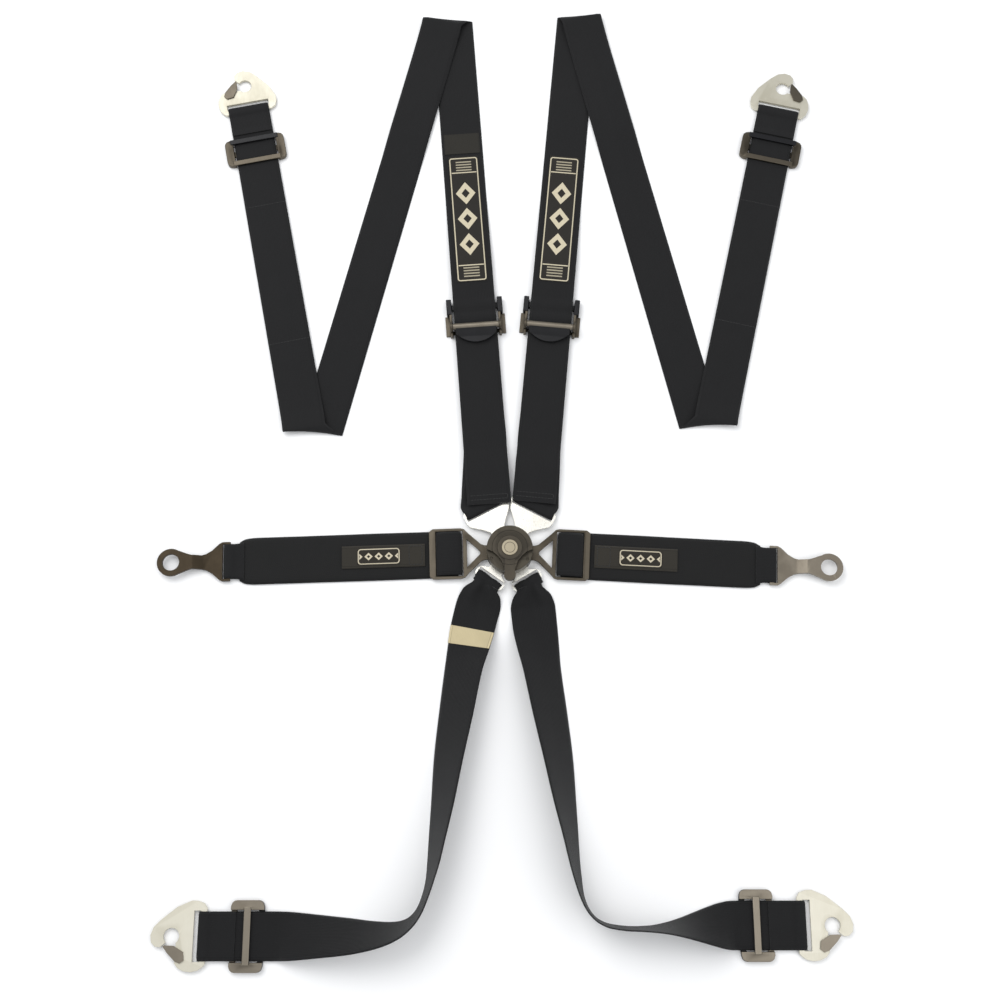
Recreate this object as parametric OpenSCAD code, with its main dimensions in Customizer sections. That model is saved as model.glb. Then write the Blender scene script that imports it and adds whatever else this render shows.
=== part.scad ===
// Six-point racing harness laid out flat: rotary buckle, six tongues, two shoulder
// straps with tilt-lock adjusters, two lap belts with bolt-in eyes, two leg straps.
// Origin: centre of the buckle's back face, on the floor. +Y runs up the shoulders.

/* [Webbing] */
// Width of the main webbing
web_w = 48; // [44:1:50]
// Thickness of the webbing
web_t = 1.6; // [1.2:0.1:1.6]
// Width of the sleeve around the lap belts
sleeve_w = 52; // [50:1:54]
// Width of the pull tabs on the lap belts
pull_w = 25; // [20:1:30]

/* [Buckle] */
// Outer radius of the buckle
buckle_r = 25; // [24:0.5:27]
// Height of the buckle housing above the floor
housing_top = 20; // [19:0.5:21]
// Length of the knob's lever from the centre
lever_len = 36; // [32:1:40]
// Radius of the badge in the knob
badge_r = 9; // [7:0.5:11]
// Thickness of every tongue
tongue_t = 3; // [2.5:0.1:3]

/* [Hooks and eyes] */
// Radius of the snap hook's throat
throat_r = 8; // [7:0.5:8.5]
// Thickness of the snap hook plate
hook_t = 3; // [2.5:0.1:3]
// Radius of the bolt hole in the lap brackets
eye_hole_r = 9; // [7:0.1:9.5]
// Outer radius of the lap bracket's eye
eye_r = 15; // [14:0.5:16]

/* [Shoulder labels] */
// Width of the shoulder label
label_w = 35; // [30:1:38]
// Thickness of the shoulder label
label_t = 0.5; // [0.3:0.1:0.6]

/* [Hidden] */
$fn = 48;
hw = web_w / 2;
gap = 0.3;
tongue_z = 3.4;
run_z = 3.2;
strap_z = 6.9;
hook_z = 3.4;
left = 0;
right = 1;
black = [0.15, 0.15, 0.15];
steel = [0.75, 0.74, 0.70];
gunmetal = [0.35, 0.33, 0.30];
dark = [0.10, 0.10, 0.11];

// angle of each tongue round the buckle, degrees left of +Y: [left, right]
shoulder_a = [28, -28];
lap_a = [92, -93];
leg_a = [144, -150];

// straight runs of the shoulder straps: a point on the line and its heading
inner_p = [[-38.7, 273.5], [46.9, 273.5]];
inner_a = [4.32, -5.27];
middle_p = [[-147.4, 390.4], [154.7, 390.4]];
middle_a = [-13.89, 13.5];
outer_p = [[-299.5, 491.4], [309.5, 491.4]];
outer_a = [11.56, -13.14];
tail_y = [53, 55];
top_y = [665, 670];
bottom_y = [138, 146];
edge_s = [57, 54];

// adjuster: where its tab pivots, along the strap
tab_s = -12;

// lap belts: where the bracket starts, measured from the buckle
lap_end = [308, 287];

// leg straps: flat line of the hook end, slider and hook positions
leg_y = [-398, -387.5];
leg_slider_x = [-265.5, 248.5];
leg_hook_x = [-316.5, 300];
leg_flat_x = [-238, 230];

// ---- helpers ----
function unit(v) = v / norm(v);
function mix(a, b, f) = a * (1 - f) + b * f;
function on_line(p, a, y) = [p[0] - (y - p[1]) * tan(a), y];
function across(a, h) = [cos(a) * h, sin(a) * h, 0];

// a ribbon through the points c, with half-width vectors u
function ribbon_points(c, u, t) = [
    for (i = [0:len(c) - 1])
        let (
            a = c[max(i - 1, 0)],
            b = c[min(i + 1, len(c) - 1)],
            n = unit(cross(b - a, u[i])) * t / 2
        )
        each [c[i] - u[i] - n, c[i] + u[i] - n, c[i] + u[i] + n, c[i] - u[i] + n]
];
function ribbon_faces(n) = concat(
    [[0, 1, 2], [0, 2, 3]],
    [
        for (i = [0:n - 2], k = [0:3])
            let (p = 4 * i + k, q = 4 * i + (k + 1) % 4)
            each k == 2
                ? [[p, p + 4, q], [p + 4, q + 4, q]]
                : [[p, p + 4, q + 4], [p, q + 4, q]]
    ],
    [[4 * n - 1, 4 * n - 2, 4 * n - 3], [4 * n - 1, 4 * n - 3, 4 * n - 4]]
);
module ribbon(c, u, t = web_t) {
    polyhedron(points = ribbon_points(c, u, t), faces = ribbon_faces(len(c)));
}

// local frame of a run: +Y along its heading, +X to its right
module along(p, a) {
    translate([p[0], p[1], 0]) rotate([0, 0, a]) children();
}
// local frame of a tongue: +Y out from the buckle's centre
module out_from_buckle(a) {
    rotate([0, 0, a]) children();
}
module mirrored(side) {
    if (side == right) mirror([1, 0, 0]) children();
    else children();
}
module box(x0, x1, y0, y1, z0, z1) {
    translate([x0, y0, z0]) cube([x1 - x0, y1 - y0, z1 - z0]);
}
// webbing wrapped round a flat bar that lies across the run
module wrap(half, y0, y1, bar_z0, bar_z1) {
    g = gap;
    mid = (bar_z0 + bar_z1) / 2;
    r_in = (bar_z1 - bar_z0) / 2 + g;
    r_out = r_in + web_t;
    translate([-half, 0, 0]) rotate([90, 0, 90]) linear_extrude(height = 2 * half)
        difference() {
            union() {
                translate([y0, mid]) circle(r = r_out);
                translate([y1, mid]) circle(r = r_out);
                translate([y0, mid - r_out]) square([y1 - y0, 2 * r_out]);
            }
            translate([y0, mid]) circle(r = r_in);
            translate([y1, mid]) circle(r = r_in);
            translate([y0, mid - r_in]) square([y1 - y0, 2 * r_in]);
        }
}

// ---- buckle ----
module buckle_base() {
    color(gunmetal) difference() {
        union() {
            cylinder(r = buckle_r, h = 3);
            rotate([0, 0, lap_a[left]]) translate([0, 15.5, 2]) cylinder(r = 2.4, h = 4.6);
        }
        rivet_holes();
    }
}
module rivet_holes() {
    for (a = [59, 118, 177, -60, -121])
        rotate([0, 0, a]) translate([0, 22.3, -1]) cylinder(r = 1.5, h = 30);
}
module buckle_housing() {
    color(gunmetal) difference() {
        translate([0, 0, 3]) cylinder(r = buckle_r, h = housing_top - 3);
        translate([0, 0, 2]) cylinder(r = 19.6, h = 15.4);
        translate([0, 0, 10]) cylinder(r = 5, h = 20);
        for (a = concat(shoulder_a, lap_a, leg_a))
            rotate([0, 0, a]) box(-8.3, 8.3, 15, 30, 2, 7);
        rivet_holes();
    }
}
module housing_rivets() {
    color(steel) for (a = [59, 118, 177, -60, -121])
        rotate([0, 0, a]) translate([0, 22.3, 0.2]) cylinder(r = 1.45, h = 19.4);
}
module latch_star() {
    color(steel) {
        difference() {
            union() {
                translate([0, 0, 8]) cylinder(r = 18.6, h = 1);
                for (a = concat(shoulder_a, leg_a, [lap_a[right]]))
                    rotate([0, 0, a]) translate([0, 15.5, 3.2]) cylinder(r = 2.1, h = 5);
            }
            translate([0, 0, 7]) cylinder(r = 5, h = 4);
            for (a = [0, 59, 118, 177, -60, -121])
                rotate([0, 0, a]) translate([0, 17.5, 7]) cylinder(r = 3, h = 4);
        }
    }
}
module cam_plate() {
    color(steel) difference() {
        union() {
            translate([0, 0, 9.8]) cylinder(r = 10, h = 2);
            for (a = [0, 120, 240])
                rotate([0, 0, a]) box(-3, 3, 6, 14, 10, 11.6);
        }
        translate([0, 0, 9]) cylinder(r = 3.02, h = 4);
    }
}
module cam_spindle() {
    color(steel) translate([0, 0, 3.2]) cylinder(r = 3, h = 18.8);
}
module return_spring() {
    color(steel) translate([0, 0, 12.4]) difference() {
        cylinder(r = 8.5, h = 4.4);
        translate([0, 0, -1]) cylinder(r = 7, h = 7);
    }
}
module knob_outline() {
    intersection() {
        circle(r = buckle_r - 0.6);
        polygon([
            [-30, -1.5], [-24, -2], [-18, -4.5], [-13, -9], [-9, -14], [-6.8, -20], [-5.8, -24],
            [5.8, -24], [6.8, -20], [9, -14], [13, -9], [18, -4.5], [24, -2], [30, -1.5],
            [30, 30], [-30, 30]
        ]);
    }
}
module release_knob() {
    z = housing_top + 0.4;
    color(gunmetal) difference() {
        union() {
            translate([0, 0, z]) linear_extrude(height = 4.6) knob_outline();
            translate([0, 0, z]) cylinder(r = 14, h = 5.6);
            box(-5.6, 5.6, -lever_len + 6, 0, z, z + 5.6);
            translate([0, -lever_len + 6.2, z]) cylinder(r = 6.2, h = 5.6);
        }
        translate([0, 0, housing_top - 1]) cylinder(r = 3.02, h = 3.01);
        translate([0, 0, housing_top + 5]) cylinder(r = badge_r + 0.05, h = 2);
    }
}
module knob_badge() {
    color(black) translate([0, 0, housing_top + 5]) cylinder(r = badge_r, h = 1.4);
}

// ---- tongues ----
module neck() {
    polygon([
        [-3, 11.5], [3, 11.5], [4.6, 12.6], [8, 19], [8, 28.5], [-8, 28.5], [-8, 19],
        [-4.6, 12.6]
    ]);
}
module stud_hole() {
    translate([0, 15.5]) circle(r = 2.5);
}
module shoulder_tongue(side) {
    color(steel) mirrored(side) out_from_buckle(shoulder_a[left])
        translate([0, 0, tongue_z]) linear_extrude(height = tongue_t) difference() {
            union() {
                neck();
                polygon([
                    [-8, 28], [8, 28], [13, 34], [21.8, 43], [25, 49], [26.5, 52.5], [26.5, 58],
                    [24, 61], [-24, 61], [-26.5, 58], [-26.5, 49], [-25, 44], [-13, 34]
                ]);
            }
            stud_hole();
            translate([-hw - 0.2, 50.5]) square([2 * hw + 0.4, 4.5]);
        }
}
module lap_frame(side) {
    color(gunmetal) out_from_buckle(lap_a[side]) translate([0, 0, tongue_z])
        linear_extrude(height = tongue_t) difference() {
            union() {
                neck();
                polygon([
                    [-8, 27], [8, 27], [9.5, 31], [15, 37], [22, 44.5], [27, 49], [28, 53],
                    [28, 83], [25, 87], [-25, 87], [-28, 83], [-28, 53], [-27, 49],
                    [-22, 44.5], [-15, 37], [-9.5, 31]
                ]);
            }
            stud_hole();
            polygon([[-1.5, 32], [1.5, 32], [15.5, 46.3], [-15.5, 46.3]]);
            translate([-25, 50.6]) square([50, 29.6]);
        }
}
module leg_tongue(side) {
    color(steel) out_from_buckle(leg_a[side]) translate([0, 0, tongue_z])
        linear_extrude(height = tongue_t) difference() {
            union() {
                neck();
                polygon([
                    [-8, 27], [8, 27], [15.5, 31], [17.5, 34.5], [17.5, 39], [15, 42],
                    [-15, 42], [-17.5, 39], [-17.5, 34.5], [-15.5, 31]
                ]);
            }
            stud_hole();
            translate([-15.6, 31.6]) square([31.2, 5.4]);
        }
}

// ---- shoulder straps ----
module anchor_strap(side) {
    a0 = shoulder_a[side];
    a1 = inner_a[side];
    start = [-sin(a0) * 62.2, cos(a0) * 62.2];
    join = on_line(inner_p[side], a1, 118);
    ya = inner_p[side][1] - 19 * cos(a1);
    color(black) {
        ribbon(
            [
                [start[0], start[1], 4.6],
                [mix(start, join, 0.35)[0], mix(start, join, 0.35)[1], 2.4],
                [join[0], join[1], 1.7]
            ],
            [across(a0, hw), across(mix(a0, a1, 0.5), hw), across(a1, hw)],
            2 * web_t
        );
        ribbon(
            [
                [on_line(inner_p[side], a1, 116)[0], 116, 1],
                [on_line(inner_p[side], a1, 232)[0], 232, 1],
                [on_line(inner_p[side], a1, ya)[0], ya, 1]
            ],
            [for (i = [0:2]) across(a1, hw - 0.2)]
        );
        out_from_buckle(a0) wrap(hw - 0.4, 55.7, 60.3, tongue_z, tongue_z + tongue_t);
        along(inner_p[side], a1) wrap(hw - 0.4, -17.4, -14.6, 1.9, 4.1);
    }
}
// height of the shoulder strap's underside along its inner run
function inner_level(y) = lookup(y, [
    [50, 9.9], [90, 9.9], [128, strap_z], [345, strap_z], [430, 0.8], [800, 0.8]
]);
module inner_run(side) {
    a = inner_a[side];
    ys = [tail_y[side], 90, 128, 345, 370, 400, 430, 520, top_y[side] - 30];
    color(black) ribbon(
        [for (y = ys) [on_line(inner_p[side], a, y)[0], y, inner_level(y)]],
        [for (y = ys) across(a, hw)]
    );
}
// fold between two runs: pt and heading of each, crease y, way of the fold, end height
function fold_row(p0, a0, p1, a1, y, f, z) =
    let (q = mix(on_line(p0, a0, y), on_line(p1, a1, y), f)) [q[0], y, z];
module middle_run(side) {
    p0 = inner_p[side];
    a0 = inner_a[side];
    p1 = middle_p[side];
    a1 = middle_a[side];
    yt = top_y[side];
    rows = concat(
        [[yt - 29.6, 0, 0.8], [yt - 14, 0, 0.8], [yt - 5, 0, 0.9]],
        [for (t = [-60:30:90]) [yt - 3.2 + 3.2 * cos(t), (t + 60) / 150, 4 + 3.2 * sin(t)]],
        [[yt - 12, 1, 6.6], [yt - 30, 1, 4.2], [yt - 60, 1, 3.2], [yt - 150, 1, 3.2],
         [yt - 200, 1, 0.8], [bottom_y[side] + 30, 1, 0.8]]
    );
    color(black) ribbon(
        [for (r = rows) fold_row(p0, a0, p1, a1, r[0], r[1], r[2])],
        [for (r = rows) mix(across(a0, hw), across(a1, hw), r[1])]
    );
}
module outer_run(side) {
    p0 = middle_p[side];
    a0 = middle_a[side];
    p1 = outer_p[side];
    a1 = outer_a[side];
    yb = bottom_y[side];
    ye = p1[1] + (edge_s[side] - 36) * cos(a1);
    rows = concat(
        [[yb + 29.6, 0, 0.8], [yb + 14, 0, 0.8], [yb + 5, 0, 0.9]],
        [for (t = [-60:30:90]) [yb + 3.2 - 3.2 * cos(t), (t + 60) / 150, 4 + 3.2 * sin(t)]],
        [[yb + 12, 1, 6.6], [yb + 30, 1, 4.2], [yb + 60, 1, run_z], [ye, 1, run_z]]
    );
    color(black) ribbon(
        [for (r = rows) fold_row(p0, a0, p1, a1, r[0], r[1], r[2])],
        [for (r = rows) mix(across(a0, hw), across(a1, hw), r[1])]
    );
}
module shoulder_label(side) {
    a = inner_a[side];
    ys = [318, 345, 370, 400, 430, 481];
    color(dark) ribbon(
        [
            for (y = ys) [
                on_line(inner_p[side], a, y)[0], y,
                inner_level(y) + web_t / 2 + label_t / 2 + 0.08
            ]
        ],
        [for (y = ys) across(a, label_w / 2)],
        label_t
    );
}
module adjuster_frame(side) {
    color(gunmetal) along(inner_p[side], inner_a[side]) difference() {
        union() {
            for (m = [0, 1]) mirror([m, 0, 0]) {
                box(26.2, 29.2, -21, 5, 0, 9);
                translate([26.2, tab_s, 12.6]) rotate([0, 90, 0]) cylinder(r = 5.5, h = 3);
                box(26.2, 29.2, tab_s - 5.5, tab_s + 5.5, 5, 12.6);
                box(28, 34, -19, 5, 0, 2.2);
            }
            box(-27, 27, -18, -14, 1.9, 4.1);
        }
        translate([-40, tab_s, 12.6]) rotate([0, 90, 0]) cylinder(r = 2.05, h = 80);
    }
}
module adjuster_bar(side) {
    color(black) along(inner_p[side], inner_a[side]) {
        box(-30, 30, 11, 18, 2.4, 5.4);
        for (m = [0, 1]) mirror([m, 0, 0]) box(26.2, 32, 5.3, 24, 0, 8.4);
    }
}
module release_tab(side) {
    color(black) along(inner_p[side], inner_a[side]) {
        translate([-25.9, tab_s, 12.6]) rotate([0, 90, 0]) cylinder(r = 3.8, h = 51.8);
        translate([-29.1, tab_s, 12.6]) rotate([0, 90, 0]) cylinder(r = 2, h = 58.2);
        intersection() {
            translate([-23, tab_s, 0]) rotate([90, 0, 90]) linear_extrude(height = 46)
                polygon([
                    [0, 15.6], [-6, 14.4], [-12, 12.4], [-19.5, 11.6],
                    [-19.5, 9.8], [-12, 10.2], [-6, 11], [0, 9.8]
                ]);
            translate([0, -2, 0]) cylinder(r = 29, h = 20);
        }
    }
}

// ---- three-bar slider and snap hook ----
module slider_at(p, a, centre_over) {
    z_mid = centre_over ? 4.4 : 0;
    h_mid = centre_over ? 2.8 : 2.0;
    z_out = centre_over ? 0 : 4.4;
    h_out = centre_over ? 2.0 : 2.8;
    color(gunmetal) along(p, a) {
        for (m = [0, 1]) mirror([m, 0, 0]) translate([0, 0, 1]) linear_extrude(height = 5.2)
            polygon([
                [25.4, -17], [29, -17], [32.5, -15.8], [34.4, -13.6], [35, -11], [35, 11],
                [34.4, 13.6], [32.5, 15.8], [29, 17], [25.4, 17]
            ]);
        translate([-28, -3.5, z_mid]) cube([56, 7, h_mid]);
        translate([-28, 11, z_out]) cube([56, 6, h_out]);
        translate([-28, -17, z_out]) cube([56, 6, h_out]);
    }
}
module hook_loop_at(p, a) {
    color(black) along(p, a) {
        wrap(hw, -9.4, -4.6, hook_z - hook_t / 2, hook_z + hook_t / 2);
        box(-hw, hw, -34, -10.9, hook_z - web_t, hook_z + web_t);
    }
}
module hook_outline() {
    polygon([
        [-27, -10], [-32, -7], [-34.5, 0], [-34.5, 6], [-28.5, 20], [-16, 36], [-9, 43],
        [-1, 46], [6, 45], [10, 41], [10.5, 36], [7.5, 32], [0, 25], [7, 20], [26, 20.5],
        [30.5, 17], [33.5, 11], [34.5, 4], [33, -3], [29.5, -8], [27, -10]
    ]);
}
module hook_at(p, a, side) {
    color(steel) along(p, a) mirrored(side) mirror([1, 0, 0])
        translate([0, 0, hook_z - hook_t / 2]) linear_extrude(height = hook_t)
        difference() {
            hook_outline();
            translate([0, 25]) circle(r = throat_r);
            translate([-hw - 0.8, -4]) square([2 * hw + 1.6, 7]);
            translate([20, 14]) circle(r = 1.55);
        }
}
module gate_at(p, a, side) {
    z = hook_z + hook_t / 2 + 0.15;
    color(steel) along(p, a) mirrored(side) mirror([1, 0, 0]) {
        translate([0, 0, z]) linear_extrude(height = 1.6)
            polygon([
                [23, 11], [26, 15], [24, 20], [16, 28], [9.5, 33], [8.6, 31], [9, 22], [15, 12]
            ]);
        translate([20, 14, hook_z - hook_t / 2]) cylinder(r = 1.5, h = hook_t + 1);
    }
}
function on_outer(side, s) = [
    outer_p[side][0] - sin(outer_a[side]) * s,
    outer_p[side][1] + cos(outer_a[side]) * s
];
function hook_point(side) = on_outer(side, edge_s[side] + 2);

// ---- lap belts ----
module lap_roll(side) {
    color(black) out_from_buckle(lap_a[side])
        translate([-24, 0, 0]) rotate([90, 0, 90]) linear_extrude(height = 48)
        union() {
            translate([53.9, 6.4]) circle(r = 2.9);
            translate([76.9, 6.4]) circle(r = 2.9);
            translate([53.9, 3.5]) square([23, 5.8]);
        }
}
module lap_belt(side) {
    color(black) out_from_buckle(lap_a[side])
        box(-sleeve_w / 2, sleeve_w / 2, 56, lap_end[side] - 14, 0, 3.1);
}
module pull_tab(side) {
    color(dark) out_from_buckle(lap_a[side]) box(-pull_w / 2, pull_w / 2, 92, 182, 3.2, 4.6);
}
module bracket_loop(side) {
    e = lap_end[side];
    color(black) out_from_buckle(lap_a[side]) {
        box(-19, 19, e - 12.4, e - 6.3, 2.05, 5.25);
        wrap(19, e - 4.2, e - 1.2, 1.9, 5.4);
    }
}
module eye_bracket(side) {
    e = lap_end[side];
    color(steel) out_from_buckle(lap_a[side]) translate([0, e, 0]) difference() {
        union() {
            translate([0, 0, 1.9]) linear_extrude(height = 3.5)
                polygon([
                    [-21.6, -5.2], [21.6, -5.2], [21.6, 3.4], [19.6, 7], [12.5, 14.5],
                    [8.8, 21], [7.6, 26], [-7.6, 26], [-8.8, 21], [-12.5, 14.5],
                    [-19.6, 7], [-21.6, 3.4]
                ]);
            translate([-7.6, 0, 0]) rotate([90, 0, 90]) linear_extrude(height = 15.2)
                polygon([
                    [24, 1.9], [26, 1.9], [35, 6.4], [42, 6.4], [42, 9.9], [34, 9.9],
                    [25, 5.4], [24, 5.4]
                ]);
            translate([0, 0, 6.4]) linear_extrude(height = 3.5)
                polygon([
                    [-7.6, 36], [7.6, 36], [9.2, 41], [12.6, 49.5], [0, 52], [-12.6, 49.5],
                    [-9.2, 41]
                ]);
            translate([0, 58, 6.4]) cylinder(r = eye_r, h = 3.5);
        }
        translate([0, 58, 5]) cylinder(r = eye_hole_r, h = 7);
        box(-19.4, 19.4, -0.6, 3.2, 0, 8);
    }
}

// ---- leg straps ----
// rows: x, y, bank angle, half-width, height of the centre line
leg_left = [
    [-26.5, -36.5, 0, 13, 7.8], [-30, -46, 0, 21, 4.4], [-34, -60, 0, 24, 1.4],
    [-38.9, -80, 6, 24, 3.4], [-43.5, -103, 20, 24, 9.2], [-48.8, -128, 32, 24, 13.8],
    [-56.4, -176, 40, 24, 16.6], [-63.8, -223, 49, 24, 19.2], [-69.5, -269, 59, 24, 21.6],
    [-73.8, -299, 66, 24, 23], [-78.1, -329, 73, 24, 23.9], [-81.5, -346, 78, 24, 24.4],
    [-85.6, -360, 80, 24, 24.5], [-91, -373, 80, 24, 24.5], [-99.5, -384, 77, 24, 24.3],
    [-112, -391.5, 70, 24, 23.5], [-128, -395.5, 61, 24, 22.2], [-144, -397.2, 53, 24, 20.6],
    [-160, -397.8, 45, 24, 18.6], [-177, -398, 38, 24, 16.4], [-193, -398, 31, 24, 14],
    [-209, -398, 22, 24, 11], [-224, -398, 11, 24, 7], [-238, -398, 0, 24, 3.2],
    [-279.9, -398, 0, 24, 3.2]
];
leg_right = [
    [21.5, -39, 0, 13, 7.8], [23.5, -50, 0, 21, 4.4], [25, -62, 0, 24, 1.4],
    [27, -82, 6, 24, 3.4], [30, -104, 20, 24, 9.2], [33.8, -128, 32, 24, 13.8],
    [41.9, -176, 40, 24, 16.6], [50, -223, 49, 24, 19.2], [56.5, -269, 60, 24, 21.8],
    [61.1, -299, 68, 24, 23.2], [65.4, -329, 75, 24, 24.1], [68.4, -345, 79, 24, 24.4],
    [72, -360, 83, 24, 24.6], [78, -373, 85, 24, 24.7], [87, -382.5, 86, 24, 24.8],
    [100, -388, 86, 24, 24.8], [122, -390.4, 86, 24, 24.8], [139, -390.6, 84, 24, 24.7],
    [155, -390.2, 78, 24, 24.3], [171, -389.6, 68, 24, 23.2], [186, -388.8, 55, 24, 20.8],
    [200, -388.1, 40, 24, 17], [212, -387.7, 24, 24, 11.8], [222, -387.5, 9, 24, 6.2],
    [230, -387.5, 0, 24, 3.2], [263.4, -387.5, 0, 24, 3.2]
];
function leg_centre(rows) = [for (r = rows) [r[0], r[1], r[4]]];
function leg_width(rows, way) = [
    for (i = [0:len(rows) - 1])
        let (
            a = rows[max(i - 1, 0)],
            b = rows[min(i + 1, len(rows) - 1)],
            d = unit([b[0] - a[0], b[1] - a[1]]),
            r = rows[i]
        )
        [d[1] * cos(r[2]), -d[0] * cos(r[2]), way * sin(r[2])] * r[3] * hw / 24
];
module leg_strap(side) {
    rows = side == left ? leg_left : leg_right;
    color(black) {
        ribbon(leg_centre(rows), leg_width(rows, side == left ? -1 : 1));
        out_from_buckle(leg_a[side]) wrap(15, 37.7, 41.2, tongue_z, tongue_z + tongue_t);
        out_from_buckle(leg_a[side]) box(-15, 15, 43.2, 46.5, 4.2, 6.4);
    }
}
function leg_head(side) = side == left ? 90 : -90;

// ---- build ----
buckle_base();
buckle_housing();
housing_rivets();
latch_star();
cam_plate();
cam_spindle();
return_spring();
release_knob();
knob_badge();
shoulder_tongue(left);  // left_shoulder_tongue
shoulder_tongue(right);  // right_shoulder_tongue
lap_frame(left);  // left_lap_frame
lap_frame(right);  // right_lap_frame
leg_tongue(left);  // left_leg_tongue
leg_tongue(right);  // right_leg_tongue
anchor_strap(left);  // left_anchor_strap
inner_run(left);  // left_inner_run
middle_run(left);  // left_middle_run
outer_run(left);  // left_outer_run
shoulder_label(left);  // left_label
adjuster_frame(left);  // left_adjuster_frame
adjuster_bar(left);  // left_adjuster_bar
release_tab(left);  // left_release_tab
slider_at(on_outer(left, -3), outer_a[left], false);  // left_slider
hook_loop_at(hook_point(left), outer_a[left]);  // left_hook_loop
hook_at(hook_point(left), outer_a[left], left);  // left_hook
gate_at(hook_point(left), outer_a[left], left);  // left_gate
anchor_strap(right);  // right_anchor_strap
inner_run(right);  // right_inner_run
middle_run(right);  // right_middle_run
outer_run(right);  // right_outer_run
shoulder_label(right);  // right_label
adjuster_frame(right);  // right_adjuster_frame
adjuster_bar(right);  // right_adjuster_bar
release_tab(right);  // right_release_tab
slider_at(on_outer(right, -3), outer_a[right], false);  // right_slider
hook_loop_at(hook_point(right), outer_a[right]);  // right_hook_loop
hook_at(hook_point(right), outer_a[right], right);  // right_hook
gate_at(hook_point(right), outer_a[right], right);  // right_gate
lap_roll(left);  // left_lap_roll
lap_belt(left);  // left_lap_belt
pull_tab(left);  // left_pull_tab
bracket_loop(left);  // left_bracket_loop
eye_bracket(left);  // left_eye_bracket
lap_roll(right);  // right_lap_roll
lap_belt(right);  // right_lap_belt
pull_tab(right);  // right_pull_tab
bracket_loop(right);  // right_bracket_loop
eye_bracket(right);  // right_eye_bracket
leg_strap(left);  // left_leg_strap
slider_at([leg_slider_x[left], leg_y[left]], 90, true);  // left_leg_slider
hook_loop_at([leg_hook_x[left], leg_y[left]], leg_head(left));  // left_leg_hook_loop
hook_at([leg_hook_x[left], leg_y[left]], leg_head(left), left);  // left_leg_hook
gate_at([leg_hook_x[left], leg_y[left]], leg_head(left), left);  // left_leg_gate
leg_strap(right);  // right_leg_strap
slider_at([leg_slider_x[right], leg_y[right]], -90, true);  // right_leg_slider
hook_loop_at([leg_hook_x[right], leg_y[right]], leg_head(right));  // right_leg_hook_loop
hook_at([leg_hook_x[right], leg_y[right]], leg_head(right), right);  // right_leg_hook
gate_at([leg_hook_x[right], leg_y[right]], leg_head(right), right);  // right_leg_gate
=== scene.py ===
"""Looks for a six-point racing harness laid flat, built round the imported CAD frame."""

import logging
import math
from dataclasses import dataclass
from enum import Enum
from typing import Callable, Iterable, List, Optional, Sequence, Tuple

import bmesh
import bpy
import numpy as np
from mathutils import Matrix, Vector


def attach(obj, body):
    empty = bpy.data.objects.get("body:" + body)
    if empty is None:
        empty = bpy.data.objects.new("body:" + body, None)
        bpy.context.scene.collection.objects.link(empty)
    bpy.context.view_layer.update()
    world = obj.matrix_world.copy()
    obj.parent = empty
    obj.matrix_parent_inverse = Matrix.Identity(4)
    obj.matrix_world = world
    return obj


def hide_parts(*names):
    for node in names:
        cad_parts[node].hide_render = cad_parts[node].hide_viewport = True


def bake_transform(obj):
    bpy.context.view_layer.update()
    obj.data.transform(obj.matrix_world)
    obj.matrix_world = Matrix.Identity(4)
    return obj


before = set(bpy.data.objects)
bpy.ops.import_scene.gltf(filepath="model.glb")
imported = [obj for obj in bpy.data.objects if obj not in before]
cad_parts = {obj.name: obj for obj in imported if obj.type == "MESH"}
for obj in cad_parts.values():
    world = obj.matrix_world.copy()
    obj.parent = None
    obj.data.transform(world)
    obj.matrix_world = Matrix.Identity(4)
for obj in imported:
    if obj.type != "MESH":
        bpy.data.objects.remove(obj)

logging.basicConfig(level=logging.INFO, format="%(message)s")
log = logging.getLogger("harness")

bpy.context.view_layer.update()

# millimetres, except MM itself, which turns them to metres
MM = 0.001
WEB_WIDTH = 48.0
WEB_HALF = WEB_WIDTH / 2
WEB_THICK = 1.6
BAR_WRAP = 2.6  # radius of the webbing's middle line round a bar
SLEEVE_WIDTH = 52.0
PULL_WIDTH = 25.0
LABEL_WIDTH = 35.0
LAP_LABEL_WIDTH = 18.0
HOOK_MID = 3.4  # height of a hook's bar
TONGUE_MID = 4.9  # height of a tongue's bar
RUN_Z = 3.2  # height of a strap that lies over a fold
STRAP_Z = 6.9  # height of the strap through the adjuster
FLOOR_Z = 0.8  # height of a strap on the floor


class Side(Enum):
    """The wearer's straps as they lie, left or right of the buckle."""

    LEFT = 0
    RIGHT = 1

    @property
    def word(self) -> str:
        """The prefix of this side's node names."""
        return self.name.lower()


def srgb(code: str) -> Tuple[float, float, float, float]:
    """Turns a hex colour into linear light.

    Args:
        code: six hex digits, as on a paint chart.

    Returns:
        Red, green, blue and an alpha of 1.
    """
    parts = [int(code[i : i + 2], 16) / 255 for i in (0, 2, 4)]
    lin = [c / 12.92 if c <= 0.04045 else ((c + 0.055) / 1.055) ** 2.4 for c in parts]
    return (lin[0], lin[1], lin[2], 1.0)


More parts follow.
